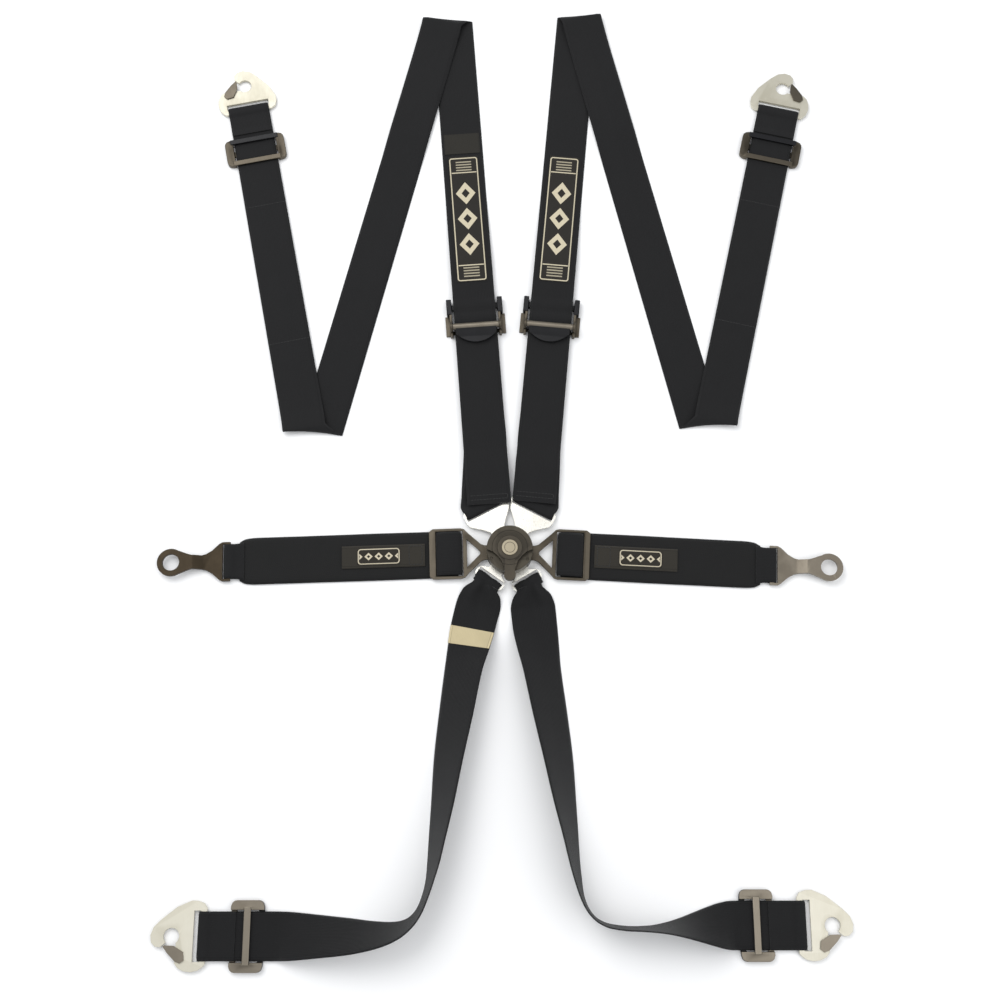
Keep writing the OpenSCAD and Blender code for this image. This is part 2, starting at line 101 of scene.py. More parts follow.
class Shader:
    """A material's node tree with one small helper for adding nodes."""

    def __init__(self, name: str) -> None:
        """Starts an empty material holding one surface shader.

        Args:
            name: the material's name, after what it is made of.
        """
        self.material = bpy.data.materials.new(name)
        self.material.use_nodes = True
        self.tree = self.material.node_tree
        self.tree.nodes.clear()
        self.out = self.tree.nodes.new("ShaderNodeOutputMaterial")
        self.surface = self.tree.nodes.new("ShaderNodeBsdfPrincipled")
        self.tree.links.new(self.surface.outputs["BSDF"], self.out.inputs["Surface"])

    def node(self, kind: str, inputs: Optional[dict] = None, **settings: object) -> bpy.types.Node:
        """Adds a node, sets its properties and fills its inputs.

        Args:
            kind: the node's type name.
            inputs: input name or index to a value or to another node's output.
            settings: properties of the node itself.

        Returns:
            The new node.
        """
        made = self.tree.nodes.new(kind)
        for key, value in settings.items():
            setattr(made, key, value)
        for key, value in (inputs or {}).items():
            if isinstance(value, bpy.types.NodeSocket):
                self.tree.links.new(value, made.inputs[key])
            else:
                made.inputs[key].default_value = value
        return made

    def math(self, operation: str, *values: object) -> bpy.types.NodeSocket:
        """Adds one arithmetic step.

        Args:
            operation: the step's name.
            values: its numbers or sockets, in order.

        Returns:
            The result's socket.
        """
        inputs = {i: v for i, v in enumerate(values)}
        return self.node("ShaderNodeMath", inputs, operation=operation).outputs[0]

    def mix(self, factor: object, a: object, b: object) -> bpy.types.NodeSocket:
        """Mixes two colours.

        Args:
            factor: how much of the second shows.
            a: the first colour.
            b: the second colour.

        Returns:
            The mixed colour's socket.
        """
        made = self.node("ShaderNodeMix", {0: factor, 6: a, 7: b}, data_type="RGBA")
        return made.outputs[2]

    def noise(self, where: object, scale: float, detail: float = 3.0) -> bpy.types.NodeSocket:
        """Adds a soft noise of the given scale and returns its value's socket."""
        made = self.node("ShaderNodeTexNoise", {"Vector": where, "Scale": scale, "Detail": detail})
        return made.outputs["Fac"]

    def set(self, **values: object) -> None:
        """Fills the surface shader's inputs; underscores stand for spaces."""
        for key, value in values.items():
            socket = self.surface.inputs[key.replace("_", " ")]
            if isinstance(value, bpy.types.NodeSocket):
                self.tree.links.new(value, socket)
            else:
                socket.default_value = value

    def bump(self, height: object, strength: float, distance: float) -> None:
        """Adds relief to the surface.

        Args:
            height: the socket that says how high each place stands.
            strength: share of the relief that shows.
            distance: relief in metres.
        """
        made = self.node(
            "ShaderNodeBump", {"Height": height, "Strength": strength, "Distance": distance}
        )
        self.tree.links.new(made.outputs["Normal"], self.surface.inputs["Normal"])


@dataclass(frozen=True)
class WebbingFinish:
    """Woven polyester webbing: fine ribs, a selvedge each side, a dry sheen."""

    name: str
    colour: str
    width_mm: float
    pick_mm: float = 1.15
    rib_mm: float = 1.7
    edge_mm: float = 3.2
    edge_gain: float = 1.35
    crease: float = 0.0

    def build(self) -> bpy.types.Material:
        """Builds the material.

        Returns:
            A material that reads the piece's own UV map, in metres across and along.
        """
        s = Shader(self.name)
        uv = s.node("ShaderNodeUVMap", uv_map="cloth").outputs["UV"]
        split = s.node("ShaderNodeSeparateXYZ", {0: uv})
        across, run = split.outputs[0], split.outputs[1]
        # warp ribs run along the strap and weft picks cross them, in a broken twill
        ribs = s.math("SINE", s.math("MULTIPLY", across, 2 * math.pi / (self.rib_mm * MM)))
        slant = s.math("ADD", run, s.math("MULTIPLY", s.math("ABSOLUTE", across), 0.6))
        picks = s.math("SINE", s.math("MULTIPLY", slant, 2 * math.pi / (self.pick_mm * MM)))
        weave = s.math("ADD", s.math("MULTIPLY", ribs, 0.5), s.math("MULTIPLY", picks, 0.5))
        fibre = s.noise(uv, 2200.0, 2.0)
        cloud = s.noise(uv, 38.0, 4.0)
        half = self.width_mm / 2 * MM
        inset = s.math("SUBTRACT", half, s.math("ABSOLUTE", across))
        groove = s.math("ABSOLUTE", s.math("SUBTRACT", inset, self.edge_mm * MM))
        line = s.math("LESS_THAN", groove, 0.0004)
        selvedge = s.math("LESS_THAN", inset, self.edge_mm * MM)
        base = srgb(self.colour)
        bright = tuple(min(1.0, c * self.edge_gain) for c in base[:3]) + (1.0,)
        dim = tuple(c * 0.55 for c in base[:3]) + (1.0,)
        shade = s.mix(s.math("MULTIPLY", weave, 0.28), base, bright)
        shade = s.mix(s.math("MULTIPLY", cloud, 0.45), shade, dim)
        shade = s.mix(s.math("MULTIPLY", selvedge, 0.35), shade, bright)
        shade = s.mix(s.math("MULTIPLY", line, 0.7), shade, dim)
        rough = s.math("ADD", s.math("MULTIPLY", fibre, 0.22), 0.62)
        s.set(Base_Color=shade, Roughness=rough, Specular_IOR_Level=0.2)
        s.set(Sheen_Weight=0.1, Sheen_Roughness=0.5)
        height = s.math("ADD", weave, s.math("MULTIPLY", fibre, 0.6))
        height = s.math("SUBTRACT", height, s.math("MULTIPLY", line, 1.4))
        # soft wrinkles across the strap, as a padded sleeve shows
        squeeze = s.node("ShaderNodeMapping", {"Vector": uv, "Scale": (0.25, 1.0, 1.0)})
        wrinkle = s.noise(squeeze.outputs[0], 120.0, 3.0)
        height = s.math("ADD", height, s.math("MULTIPLY", wrinkle, self.crease))
        s.bump(height, 0.55, 0.00022)
        return s.material


@dataclass(frozen=True)
class MetalFinish:
    """Plated or coated steel with brushing, handling wear and painted shade in the turned rings."""

    name: str
    colour: str
    worn: str
    metallic: float
    rough: float
    grain: float = 900.0
    grain_depth: float = 0.00004
    rings_mm: Tuple[float, ...] = ()
    gloss: float = 0.5

    def build(self) -> bpy.types.Material:
        """Builds the material from the object's own coordinates.

        Returns:
            The material.
        """
        s = Shader(self.name)
        place = s.node("ShaderNodeTexCoord").outputs["Object"]
        stretch = s.node("ShaderNodeMapping", {"Vector": place, "Scale": (1.0, 0.12, 1.0)})
        grain = s.noise(stretch.outputs[0], self.grain, 4.0)
        cloud = s.noise(place, 60.0, 5.0)
        # bright spots where the plating is rubbed, duller haze where fingers rest
        ramp = s.node("ShaderNodeMapRange", {0: cloud, 1: 0.45, 2: 0.7, 3: 0.0, 4: 0.55})
        edge = s.node("ShaderNodeNewGeometry").outputs["Pointiness"]
        rub = s.node("ShaderNodeMapRange", {0: edge, 1: 0.5, 2: 0.56, 3: 0.0, 4: 0.8})
        shade = s.mix(ramp.outputs[0], srgb(self.colour), srgb(self.worn))
        shade = s.mix(rub.outputs[0], shade, srgb(self.worn))
        rough = s.math("ADD", s.math("MULTIPLY", grain, 0.18), self.rough - 0.06)
        height = s.math("ADD", grain, s.math("MULTIPLY", cloud, 0.5))
        # turned steps round the buckle's centre, which is also the origin, each drawn as a
        # near-black line of painted shade over a sunken bump
        flat = s.node("ShaderNodeVectorMath", {0: place, 1: (1.0, 1.0, 0.0)}, operation="MULTIPLY")
        away = s.node("ShaderNodeVectorMath", {0: flat.outputs[0]}, operation="LENGTH").outputs[1]
        for ring in self.rings_mm:
            off = s.math("ABSOLUTE", s.math("SUBTRACT", away, ring * MM))
            groove = s.math("LESS_THAN", off, 0.0003)
            # painted shade: the colour turns near-black along each ring
            shade = s.mix(s.math("MULTIPLY", groove, 0.75), shade, srgb("15130F"))
            height = s.math("SUBTRACT", height, s.math("MULTIPLY", groove, 6.0))
        s.set(Base_Color=shade, Metallic=self.metallic, Roughness=rough)
        s.set(Specular_IOR_Level=self.gloss)
        s.bump(height, 0.35, self.grain_depth)
        return s.material


@dataclass(frozen=True)
class LabelFinish:
    """A woven label: dark ground, rounded pale border, dividers and plain lozenges."""

    name: str
    ground: str
    thread: str
    width_mm: float
    length_mm: float
    border_mm: float
    inset_mm: float
    corner_mm: float
    lozenge_mm: Tuple[float, float]
    pitch_mm: float
    divider_mm: float = 0.0

    def build(self) -> bpy.types.Material:
        """Builds the material.

        Returns:
            A material that reads the label's own UV map, in metres across and along.
        """
        s = Shader(self.name)
        uv = s.node("ShaderNodeUVMap", uv_map="cloth").outputs["UV"]
        split = s.node("ShaderNodeSeparateXYZ", {0: uv})
        across, run = split.outputs[0], split.outputs[1]
        mid = s.math("SUBTRACT", run, self.length_mm / 2 * MM)
        edge = self.border(s, across, mid)
        marks = s.math("LESS_THAN", s.math("ABSOLUTE", edge), self.border_mm / 2 * MM)
        within = s.math("LESS_THAN", edge, -self.border_mm * MM)
        reach = s.math("ABSOLUTE", mid)
        keep: object = 1.0
        if self.divider_mm:
            gap = s.math("ABSOLUTE", s.math("SUBTRACT", reach, self.divider_mm * MM))
            bar = s.math("LESS_THAN", gap, self.border_mm / 2 * MM)
            marks = s.math("MAXIMUM", marks, s.math("MULTIPLY", bar, within))
            keep = s.math("LESS_THAN", reach, (self.divider_mm - 9.0) * MM)
        shown = s.math("MULTIPLY", self.lozenges(s, across, mid), keep)
        marks = s.math("MAXIMUM", marks, s.math("MULTIPLY", shown, within))
        if self.divider_mm:
            deep = s.math("LESS_THAN", edge, -3.2 * MM)
            ends = s.math("MULTIPLY", self.bars(s, across, reach), deep)
            marks = s.math("MAXIMUM", marks, s.math("MULTIPLY", ends, 0.6))
        # satin threads 0.7 mm apart, with the marks woven a little proud
        weave = s.math("SINE", s.math("MULTIPLY", run, 2 * math.pi / (0.7 * MM)))
        fuzz = s.noise(uv, 1500.0, 2.0)
        thread = s.mix(s.math("MULTIPLY", fuzz, 0.4), srgb(self.thread), srgb(self.ground))
        ground = s.mix(s.math("MULTIPLY", fuzz, 0.35), srgb(self.ground), srgb("15130F"))
        s.set(Base_Color=s.mix(marks, ground, thread), Roughness=0.78, Specular_IOR_Level=0.3)
        s.set(Sheen_Weight=0.08)
        s.bump(s.math("ADD", s.math("MULTIPLY", marks, 1.5), weave), 0.5, 0.00015)
        return s.material

    def border(self, s: Shader, across: object, mid: object) -> bpy.types.NodeSocket:
        """Measures how far each place is from a rectangle with round corners.

        Args:
            s: the material being made.
            across: metres across from the label's middle.
            mid: metres along from the label's middle.

        Returns:
            Metres outside the rectangle, less than zero inside it.
        """
        wide = (self.width_mm / 2 - self.inset_mm - self.corner_mm) * MM
        tall = (self.length_mm / 2 - self.inset_mm - self.corner_mm) * MM
        qx = s.math("SUBTRACT", s.math("ABSOLUTE", across), wide)
        qy = s.math("SUBTRACT", s.math("ABSOLUTE", mid), tall)
        ox, oy = s.math("MAXIMUM", qx, 0.0), s.math("MAXIMUM", qy, 0.0)
        squares = s.math("ADD", s.math("MULTIPLY", ox, ox), s.math("MULTIPLY", oy, oy))
        inside = s.math("MINIMUM", s.math("MAXIMUM", qx, qy), 0.0)
        away = s.math("ADD", s.math("SQRT", squares), inside)
        return s.math("SUBTRACT", away, self.corner_mm * MM)

    def lozenges(self, s: Shader, across: object, mid: object) -> bpy.types.NodeSocket:
        """Draws a column of open lozenges down the middle.

        Args:
            s: the material being made.
            across: metres across from the label's middle.
            mid: metres along from the label's middle.

        Returns:
            1 where a lozenge is woven and 0 elsewhere.
        """
        pitch = s.math("DIVIDE", mid, self.pitch_mm * MM)
        cell = s.math("SUBTRACT", s.math("FRACT", s.math("ADD", pitch, 0.5)), 0.5)
        high = s.math("MULTIPLY", s.math("ABSOLUTE", cell), 2 * self.pitch_mm / self.lozenge_mm[1])
        broad = s.math("DIVIDE", s.math("ABSOLUTE", across), self.lozenge_mm[0] / 2 * MM)
        size = s.math("ADD", high, broad)
        hollow = s.math("GREATER_THAN", size, 0.42)
        return s.math("MULTIPLY", s.math("LESS_THAN", size, 1.0), hollow)

    def bars(self, s: Shader, across: object, reach: object) -> bpy.types.NodeSocket:
        """Draws four small bars beyond each divider.

        Args:
            s: the material being made.
            across: metres across from the label's middle.
            reach: metres either way along from the label's middle.

        Returns:
            1 where a bar is woven and 0 elsewhere.
        """
        past = s.math("SUBTRACT", reach, (self.divider_mm + 2.5) * MM)
        fine = s.math("LESS_THAN", s.math("FRACT", s.math("DIVIDE", past, 3.5 * MM)), 0.45)
        narrow = s.math("LESS_THAN", s.math("ABSOLUTE", across), self.width_mm * 0.26 * MM)
        beyond = s.math("GREATER_THAN", past, 0.0)
        return s.math("MULTIPLY", beyond, s.math("MULTIPLY", fine, narrow))


class Finishes:
    """Every material of the harness, each named for what it is made of or for the light painted
    into it.
    """

    def __init__(self) -> None:
        """Builds the set once, to be shared by the pieces."""
        # dry near-black with faint ribs and a lighter selvedge
        self.web = WebbingFinish("black polyester webbing", "151516", WEB_WIDTH, crease=0.8).build()
        # the same black, coarser picks and soft wrinkles from the padding inside
        self.sleeve = WebbingFinish(
            "black polyester sleeve", "151515", SLEEVE_WIDTH, pick_mm=2.4, edge_mm=2.0, crease=5.0
        ).build()
        # warm dark grey, a shade lighter than the belt below
        self.pull = WebbingFinish(
            "dark grey nylon tape", "2F2C26", PULL_WIDTH, pick_mm=2.0, edge_mm=2.2, crease=1.5
        ).build()
        # a flat brown-grey square with hardly any edge
        self.patch = WebbingFinish("dark grey twill patch", "2A2823", 43.0, edge_mm=1.5).build()
        # rows of small grey dashes, a little lighter than the webbing
        self.thread = WebbingFinish(
            "bonded nylon thread", "2C2C2C", 1.2, pick_mm=0.5, rib_mm=0.4, edge_mm=0.1
        ).build()
        # pale warm silver with a soft brushed bloom
        self.zinc = MetalFinish("zinc-plated steel", "BDB8A6", "DAD6C8", 1.0, 0.5).build()
        # near-white silver that takes sharper reflections
        self.bright = MetalFinish("nickel-plated steel", "DEDAD0", "F2F0E8", 1.0, 0.26).build()
        # brown-grey, half-matt, as cast parts leave a tumbler
        self.gunmetal = MetalFinish("gunmetal-plated steel", "3F3A32", "625B50", 1.0, 0.4).build()
        # lighter warm grey where there is no coating; on the right lap bracket the same colour
        # stands as painted light
        self.bare_steel_and_lit_bracket = MetalFinish("tumbled steel and lit bracket", "6A6358", "8B8376", 1.0, 0.38).build()
        # darkest brown-grey, even and fine-grained
        self.cast = MetalFinish("anodised aluminium", "34302A", "4C473D", 0.8, 0.42, 1400.0).build()
        # the same, with two turned steps round the middle, drawn as lines of painted shade
        self.knob = MetalFinish(
            "anodised aluminium knob", "36322B", "504A40", 0.8, 0.4, 1400.0, rings_mm=(13.4, 19.0)
        ).build()
        # deep brown, rubbed lighter at the edges: the lap brackets' satin gunmetal darkened as
        # painted shade
        self.shaded_bracket_metal = MetalFinish("bracket gunmetal with painted shade", "2F2921", "40382D", 1.0, 0.42).build()
        # dark and smooth, with a bright worn rim
        self.dark = MetalFinish("blued spring steel", "2C2824", "6E675B", 1.0, 0.32).build()
        # true black with a soft plastic shine
        self.black = MetalFinish(
            "black powder-coated steel", "08080A", "151518", 0.0, 0.34, gloss=0.25
        ).build()
        # a pale face whose only mark is two turned rings, drawn as lines of painted shade
        self.badge = MetalFinish(
            "satin nickel badge", "8A8170", "B0A68F", 1.0, 0.34, rings_mm=(5.6, 8.7)
        ).build()
        # warm off-white weave
        self.cream = WebbingFinish("cream woven tape", "C9BB96", 46.0, edge_mm=1.5).build()
        # brown-black ground with cream thread
        self.shoulder_label = LabelFinish(
            "woven shoulder label", "24211C", "E0D5B8", LABEL_WIDTH, 163.0, 1.3, 1.6, 2.5,
            (23.0, 29.0), 34.0, 61.1,
        ).build()
        # the same weave, small, with a rounder border
        self.lap_label = LabelFinish(
            "woven lap label", "2A261F", "DDD2B8", LAP_LABEL_WIDTH, 46.0, 1.1, 0.9, 3.0,
            (8.5, 9.0), 11.0,
        ).build()


@dataclass
class Station:
    """One place along a strap: its centre, its half-width vector and its thickness."""

    centre: Vector
    half: Vector
    thick: float = WEB_THICK
    pucker: float = 0.0


def smooth(rows: np.ndarray, marks: np.ndarray, wanted: np.ndarray) -> np.ndarray:
    """Runs a rounded line through rows of numbers.

    Args:
        rows: the values at each mark.
        marks: how far along each row lies.
        wanted: where values are needed.

    Returns:
        Values at the wanted places, without overshoot.
    """
    steps = np.diff(marks)[:, None]
    slopes = np.diff(rows, axis=0) / steps
    tangents = np.zeros_like(rows)
    tangents[0], tangents[-1] = slopes[0], slopes[-1]
    same = slopes[:-1] * slopes[1:] > 0
    w1, w2 = 2 * steps[1:] + steps[:-1], steps[1:] + 2 * steps[:-1]
    with np.errstate(divide="ignore", invalid="ignore"):
        mean = (w1 + w2) / (w1 / slopes[:-1] + w2 / slopes[1:])
    tangents[1:-1] = np.where(same, mean, 0.0)
    at = np.clip(np.searchsorted(marks, wanted, side="right") - 1, 0, len(marks) - 2)
    h = (marks[at + 1] - marks[at])[:, None]
    t = ((wanted - marks[at])[:, None]) / h
    a, b = rows[at], rows[at + 1]
    ta, tb = tangents[at] * h, tangents[at + 1] * h
    return (
        (2 * t**3 - 3 * t**2 + 1) * a
        + (t**3 - 2 * t**2 + t) * ta
        + (-2 * t**3 + 3 * t**2) * b
        + (t**3 - t**2) * tb
    )


@dataclass
class Strap:
    """A length of flat webbing swept along stations, with rounded selvedges."""

    name: str
    stations: List[Station]
    material: bpy.types.Material
    step: float = 3.0
    across: int = 14
    wave: float = 0.12
    seed: int = 0

    def path(self) -> Tuple[np.ndarray, ...]:
        """Rounds the stations off into a fine path.

        Returns:
            Distances, centres, half-width vectors, normals, and thickness with pucker.
        """
        centres = np.array([s.centre for s in self.stations], float)
        halves = np.array([s.half for s in self.stations], float)
        extra = np.array([[s.thick, s.pucker] for s in self.stations], float)
        gaps = np.linalg.norm(np.diff(centres, axis=0), axis=1)
        marks = np.concatenate([[0.0], np.cumsum(gaps)])
        keep = np.concatenate([[True], gaps > 1e-6])
        centres, halves, extra, marks = centres[keep], halves[keep], extra[keep], marks[keep]
        wanted = [0.0]
        for start, end in zip(marks[:-1], marks[1:]):
            count = max(1, int(math.ceil((end - start) / self.step)))
            wanted += list(start + (end - start) * (np.arange(count) + 1) / count)
        along = np.array(wanted)
        pos = smooth(centres, marks, along)
        half = smooth(halves, marks, along)
        more = smooth(extra, marks, along)
        ahead = np.gradient(pos, along, axis=0)
        up = np.cross(half, ahead)
        up /= np.linalg.norm(up, axis=1)[:, None]
        return along, pos, half, up, more

    def over(
        self,
        name: str,
        low: float,
        high: float,
        lift: float,
        width: float,
        material: bpy.types.Material,
    ) -> "Strap":
        """A short band laid on this strap between two distances.

        Args:
            name: the band's name.
            low: where it starts, millimetres along.
            high: where it ends.
            lift: its height above the strap's centre line.
            width: its share of the strap's width.
            material: what it is made of.

        Returns:
            The band, not yet built.
        """
        along, pos, half, up, _ = self.path()
        found = []
        for place in np.linspace(low, high, 7):
            at, reach, out = (
                np.array([np.interp(place, along, rows[:, k]) for k in range(3)])
                for rows in (pos, half, up)
            )
            found.append(Station(Vector(at + out * lift), Vector(reach * width), 0.7))
        return Strap(name, found, material, step=self.step, across=self.across, wave=0.0)

    def build(self) -> bpy.types.Object:
        """Builds the strap as one closed mesh with UVs in metres.

        Returns:
            The new object, at the origin.
        """
        along, pos, half, up, more = self.path()
        rng = np.random.default_rng(self.seed)
        phase = rng.uniform(0, 6.28, 4)
        # half of a thin rounded cross-section: t from -1 to 1 with its share of thickness
        t = np.linspace(-1, 1, self.across + 1)
        edge = 0.5 * self.thick_share(t)
        ring = [(x, e) for x, e in zip(t, edge)] + [(x, -e) for x, e in zip(t[::-1], edge[::-1])]
        mesh = bmesh.new()
        grid = bmesh.ops.create_grid(
            mesh, x_segments=max(1, len(ring)), y_segments=max(1, len(along) - 1), size=1.0
        )["verts"]
        cols, rows = len(ring) + 1, len(along)
        ordered = sorted(grid, key=lambda v: (round(v.co.y, 6), round(v.co.x, 6)))
        uv = mesh.loops.layers.uv.new("cloth")
        flat = {}
        for r in range(rows):
            w = float(np.linalg.norm(half[r]))
            ripple = self.wave * (
                math.sin(along[r] * 0.045 + phase[0]) + 0.6 * math.sin(along[r] * 0.11 + phase[1])
            )
            for c in range(cols):
                x, e = ring[c % len(ring)]
                sway = 0.5 * ripple * x * math.sin(along[r] * 0.03 + phase[2])
                bow = ripple * (abs(x) ** 3) + sway
                lobe = more[r][1] * (0.35 - math.cos(2 * math.pi * x) * 0.65) * (1 - x * x)
                place = pos[r] + half[r] * x + up[r] * (e * more[r][0] + bow + lobe)
                vert = ordered[r * cols + c]
                vert.co = Vector(place) * MM
                flat[vert] = (x * w * MM, along[r] * MM)
        for face in mesh.faces:
            for loop in face.loops:
                loop[uv].uv = flat[loop.vert]
        bmesh.ops.remove_doubles(mesh, verts=mesh.verts[:], dist=1e-7)
        ends = [e for e in mesh.edges if e.is_boundary]
        bmesh.ops.holes_fill(mesh, edges=ends, sides=0)
        for cut in ends:
            cut.smooth = False
        bmesh.ops.recalc_face_normals(mesh, faces=mesh.faces[:])
        return finish_mesh(self.name, mesh, self.material)

    @staticmethod
    def thick_share(t: np.ndarray) -> np.ndarray:
        """How thick the webbing is at each place across, with a rounded selvedge."""
        return np.sqrt(np.clip(1.0 - np.clip((np.abs(t) - 0.955) / 0.045, 0, 1) ** 2, 0.06, 1.0))


def finish_mesh(
    name: str, mesh: bmesh.types.BMesh, material: bpy.types.Material
) -> bpy.types.Object:
    """Turns a bmesh into a smooth object of one material.

    Args:
        name: the object's name.
        mesh: the finished bmesh, which is freed.
        material: what it is made of.

    Returns:
        The object, linked to the scene.
    """
    data = bpy.data.meshes.new(name)
    for face in mesh.faces:
        face.smooth = True
    mesh.to_mesh(data)
    mesh.free()
    data.materials.append(material)
    made = bpy.data.objects.new(name, data)
    bpy.context.scene.collection.objects.link(made)
    return made


def polished(node: str, material: bpy.types.Material, bevel: float = 0.45) -> bpy.types.Object:
    """A finer copy of a metal piece, with its edges broken, in place of the plain one.

    Args:
        node: the plain piece's name.
        material: the finish.
        bevel: width of the broken edge in millimetres.

    Returns:
        The copy.
    """
    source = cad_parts[node]
    mesh = bmesh.new()
    mesh.from_mesh(source.data)
    mesh.transform(source.matrix_world)
    bmesh.ops.remove_doubles(mesh, verts=mesh.verts[:], dist=2e-6)
    bmesh.ops.dissolve_limit(
        mesh, angle_limit=math.radians(0.8), verts=mesh.verts[:], edges=mesh.edges[:]
    )
    bmesh.ops.recalc_face_normals(mesh, faces=mesh.faces[:])
    made = finish_mesh(node + "_finished", mesh, material)
    edge = made.modifiers.new("broken edges", "BEVEL")
    edge.width = bevel * MM
    edge.affect = "EDGES"
    edge.segments = 2
    edge.profile = 0.5
    edge.material = -1
    edge.limit_method = "ANGLE"
    edge.angle_limit = math.radians(32)
    edge.harden_normals = False
    edge.use_clamp_overlap = True
    made.data.set_sharp_from_angle(angle=math.radians(28))
    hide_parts(node)
    return made


def tinted(
    made: bpy.types.Object, test: Callable[[Vector], bool], material: bpy.types.Material
) -> bpy.types.Object:
    """Gives part of a piece a second finish.

    Args:
        made: the piece.
        test: says of a face's centre, in millimetres, whether it takes the finish.
        material: the second finish.

    Returns:
        The same piece.
    """
    made.data.materials.append(material)
    for face in made.data.polygons:
        if test(Vector(face.center) / MM):
            face.material_index = 1
    return made


def riding(made: bpy.types.Object, body: str) -> bpy.types.Object:
    """Ties a piece to a moving body."""
    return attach(made, body)


@dataclass(frozen=True)
class Run:
    """A straight run: a point on its centre line and its heading, degrees left of +Y."""

    x: float
    y: float
    heading: float

    @property
    def ahead(self) -> Vector:
        """The direction of the run."""
        a = math.radians(self.heading)
        return Vector((-math.sin(a), math.cos(a), 0.0))

    @property
    def right(self) -> Vector:
        """The direction to the right of the run."""
        a = math.radians(self.heading)
        return Vector((math.cos(a), math.sin(a), 0.0))

    def along(self, place: Vector) -> float:
        """How far ahead of the run's own point a place lies."""
        return (place - Vector((self.x, self.y, place.z))).dot(self.ahead)

    def at_y(self, y: float, z: float) -> Vector:
        """The point of the centre line at this y, lifted to z."""
        return Vector((self.x - (y - self.y) * math.tan(math.radians(self.heading)), y, z))

    def local(self, right: float, ahead: float, z: float) -> Vector:
        """The point so far to the right and ahead of the run's own point."""
        p = Vector((self.x, self.y, 0.0)) + self.right * right + self.ahead * ahead
        return Vector((p.x, p.y, z))


def station_list(run: Run, rows: Iterable[Sequence[float]], half: float) -> List[Station]:
    """Stations of a strap that goes over or round things without leaving one run.

    Args:
        run: the straight line it keeps to.
        rows: how far ahead and how high each station is, and optionally its thickness.
        half: half the width.

    Returns:
        The stations.
    """
    return [
        Station(run.local(0, r[0], r[1]), run.right * half, r[2] if len(r) > 2 else WEB_THICK)
        for r in rows
    ]


def arc(
    x: float, z: float, radius: float, start: float, end: float, steps: int
) -> List[Tuple[float, float]]:
    """Lays points round a bar, seen from the side.

    Args:
        x: the bar's place along the strap.
        z: the bar's height.
        radius: of the webbing's middle line.
        start: the first angle in degrees.
        end: the last angle.
        steps: how many parts the turn is cut into.

    Returns:
        Place along and height of each point.
    """
    turns = [math.radians(start + (end - start) * i / steps) for i in range(steps + 1)]
    return [(x + radius * math.cos(a), z + radius * math.sin(a)) for a in turns]


def stitches(
    name: str,
    run: Run,
    corners: Sequence[Tuple[float, float]],
    z: Callable[[float], float],
    material: bpy.types.Material,
    pitch: float = 3.2,
) -> bpy.types.Object:
    """Rows of thread laid along a broken line on a strap.

    Args:
        name: the piece's name.
        run: the strap's line.
        corners: the broken line, right and ahead of the run's point, in millimetres.
        z: the strap's top surface at a distance ahead.
        material: the thread.
        pitch: length of one stitch.

    Returns:
        One object holding every stitch.
    """
    mesh = bmesh.new()
    uv = mesh.loops.layers.uv.new("cloth")
    for (x0, y0), (x1, y1) in zip(corners[:-1], corners[1:]):
        length = math.hypot(x1 - x0, y1 - y0)
        count = max(1, int(length / pitch))
        for i in range(count):
            f0, f1 = (i + 0.12) / count, (i + 0.88) / count
            a = run.local(x0 + (x1 - x0) * f0, y0 + (y1 - y0) * f0, z(y0 + (y1 - y0) * f0))
            b = run.local(x0 + (x1 - x0) * f1, y0 + (y1 - y0) * f1, z(y0 + (y1 - y0) * f1))
            way = (b - a).normalized()
            side = way.cross(Vector((0, 0, 1))) * 0.42
            made = bmesh.ops.create_grid(mesh, x_segments=2, y_segments=4, size=1.0)["verts"]
            for v in made:
                s, t = v.co.x, (v.co.y + 1) / 2
                lift = 0.38 * math.sqrt(max(0.0, 1 - (2 * t - 1) ** 2 * 0.9)) * (1 - 0.8 * s * s)
                v.co = (a.lerp(b, t) + side * s + Vector((0, 0, lift - 0.1))) * MM
    for face in mesh.faces:
        for loop in face.loops:
            loop[uv].uv = (loop.vert.co.x, loop.vert.co.y)
    for face in mesh.faces:
        if face.normal.z < 0:
            face.normal_flip()
    made = finish_mesh(name, mesh, material)
    thick = made.modifiers.new("thread", "SOLIDIFY")
    thick.thickness = 0.12 * MM
    thick.offset = -1
    return made


# the layout, left value first: headings in degrees left of +Y, the rest in millimetres
SHOULDER = (28.0, -28.0)
LAP = (92.0, -93.0)
LEG = (144.0, -150.0)
INNER = (Run(-38.7, 273.5, 4.32), Run(46.9, 273.5, -5.27))
MIDDLE = (Run(-147.4, 390.4, -13.89), Run(154.7, 390.4, 13.5))
OUTER = (Run(-299.5, 491.4, 11.56), Run(309.5, 491.4, -13.14))
TAIL_Y = (53.0, 55.0)
TOP_Y = (665.0, 670.0)
BOTTOM_Y = (138.0, 146.0)
EDGE_S = (57.0, 54.0)
SEAM_Y = ((417, 246), (419, 268))
LAP_END = (308.0, 287.0)
LEG_Y = (-398.0, -387.5)
LEG_HOOK_X = (-316.5, 300.0)
LEG_SLIDER_X = (-265.5, 248.5)


def level(y: float) -> float:
    """Height of the shoulder strap's centre line along its inner run."""
    marks = [50, 90, 128, 345, 430, 800]
    heights = [9.9, 9.9, STRAP_Z, STRAP_Z, FLOOR_Z, FLOOR_Z]
    return float(np.interp(y, marks, heights))


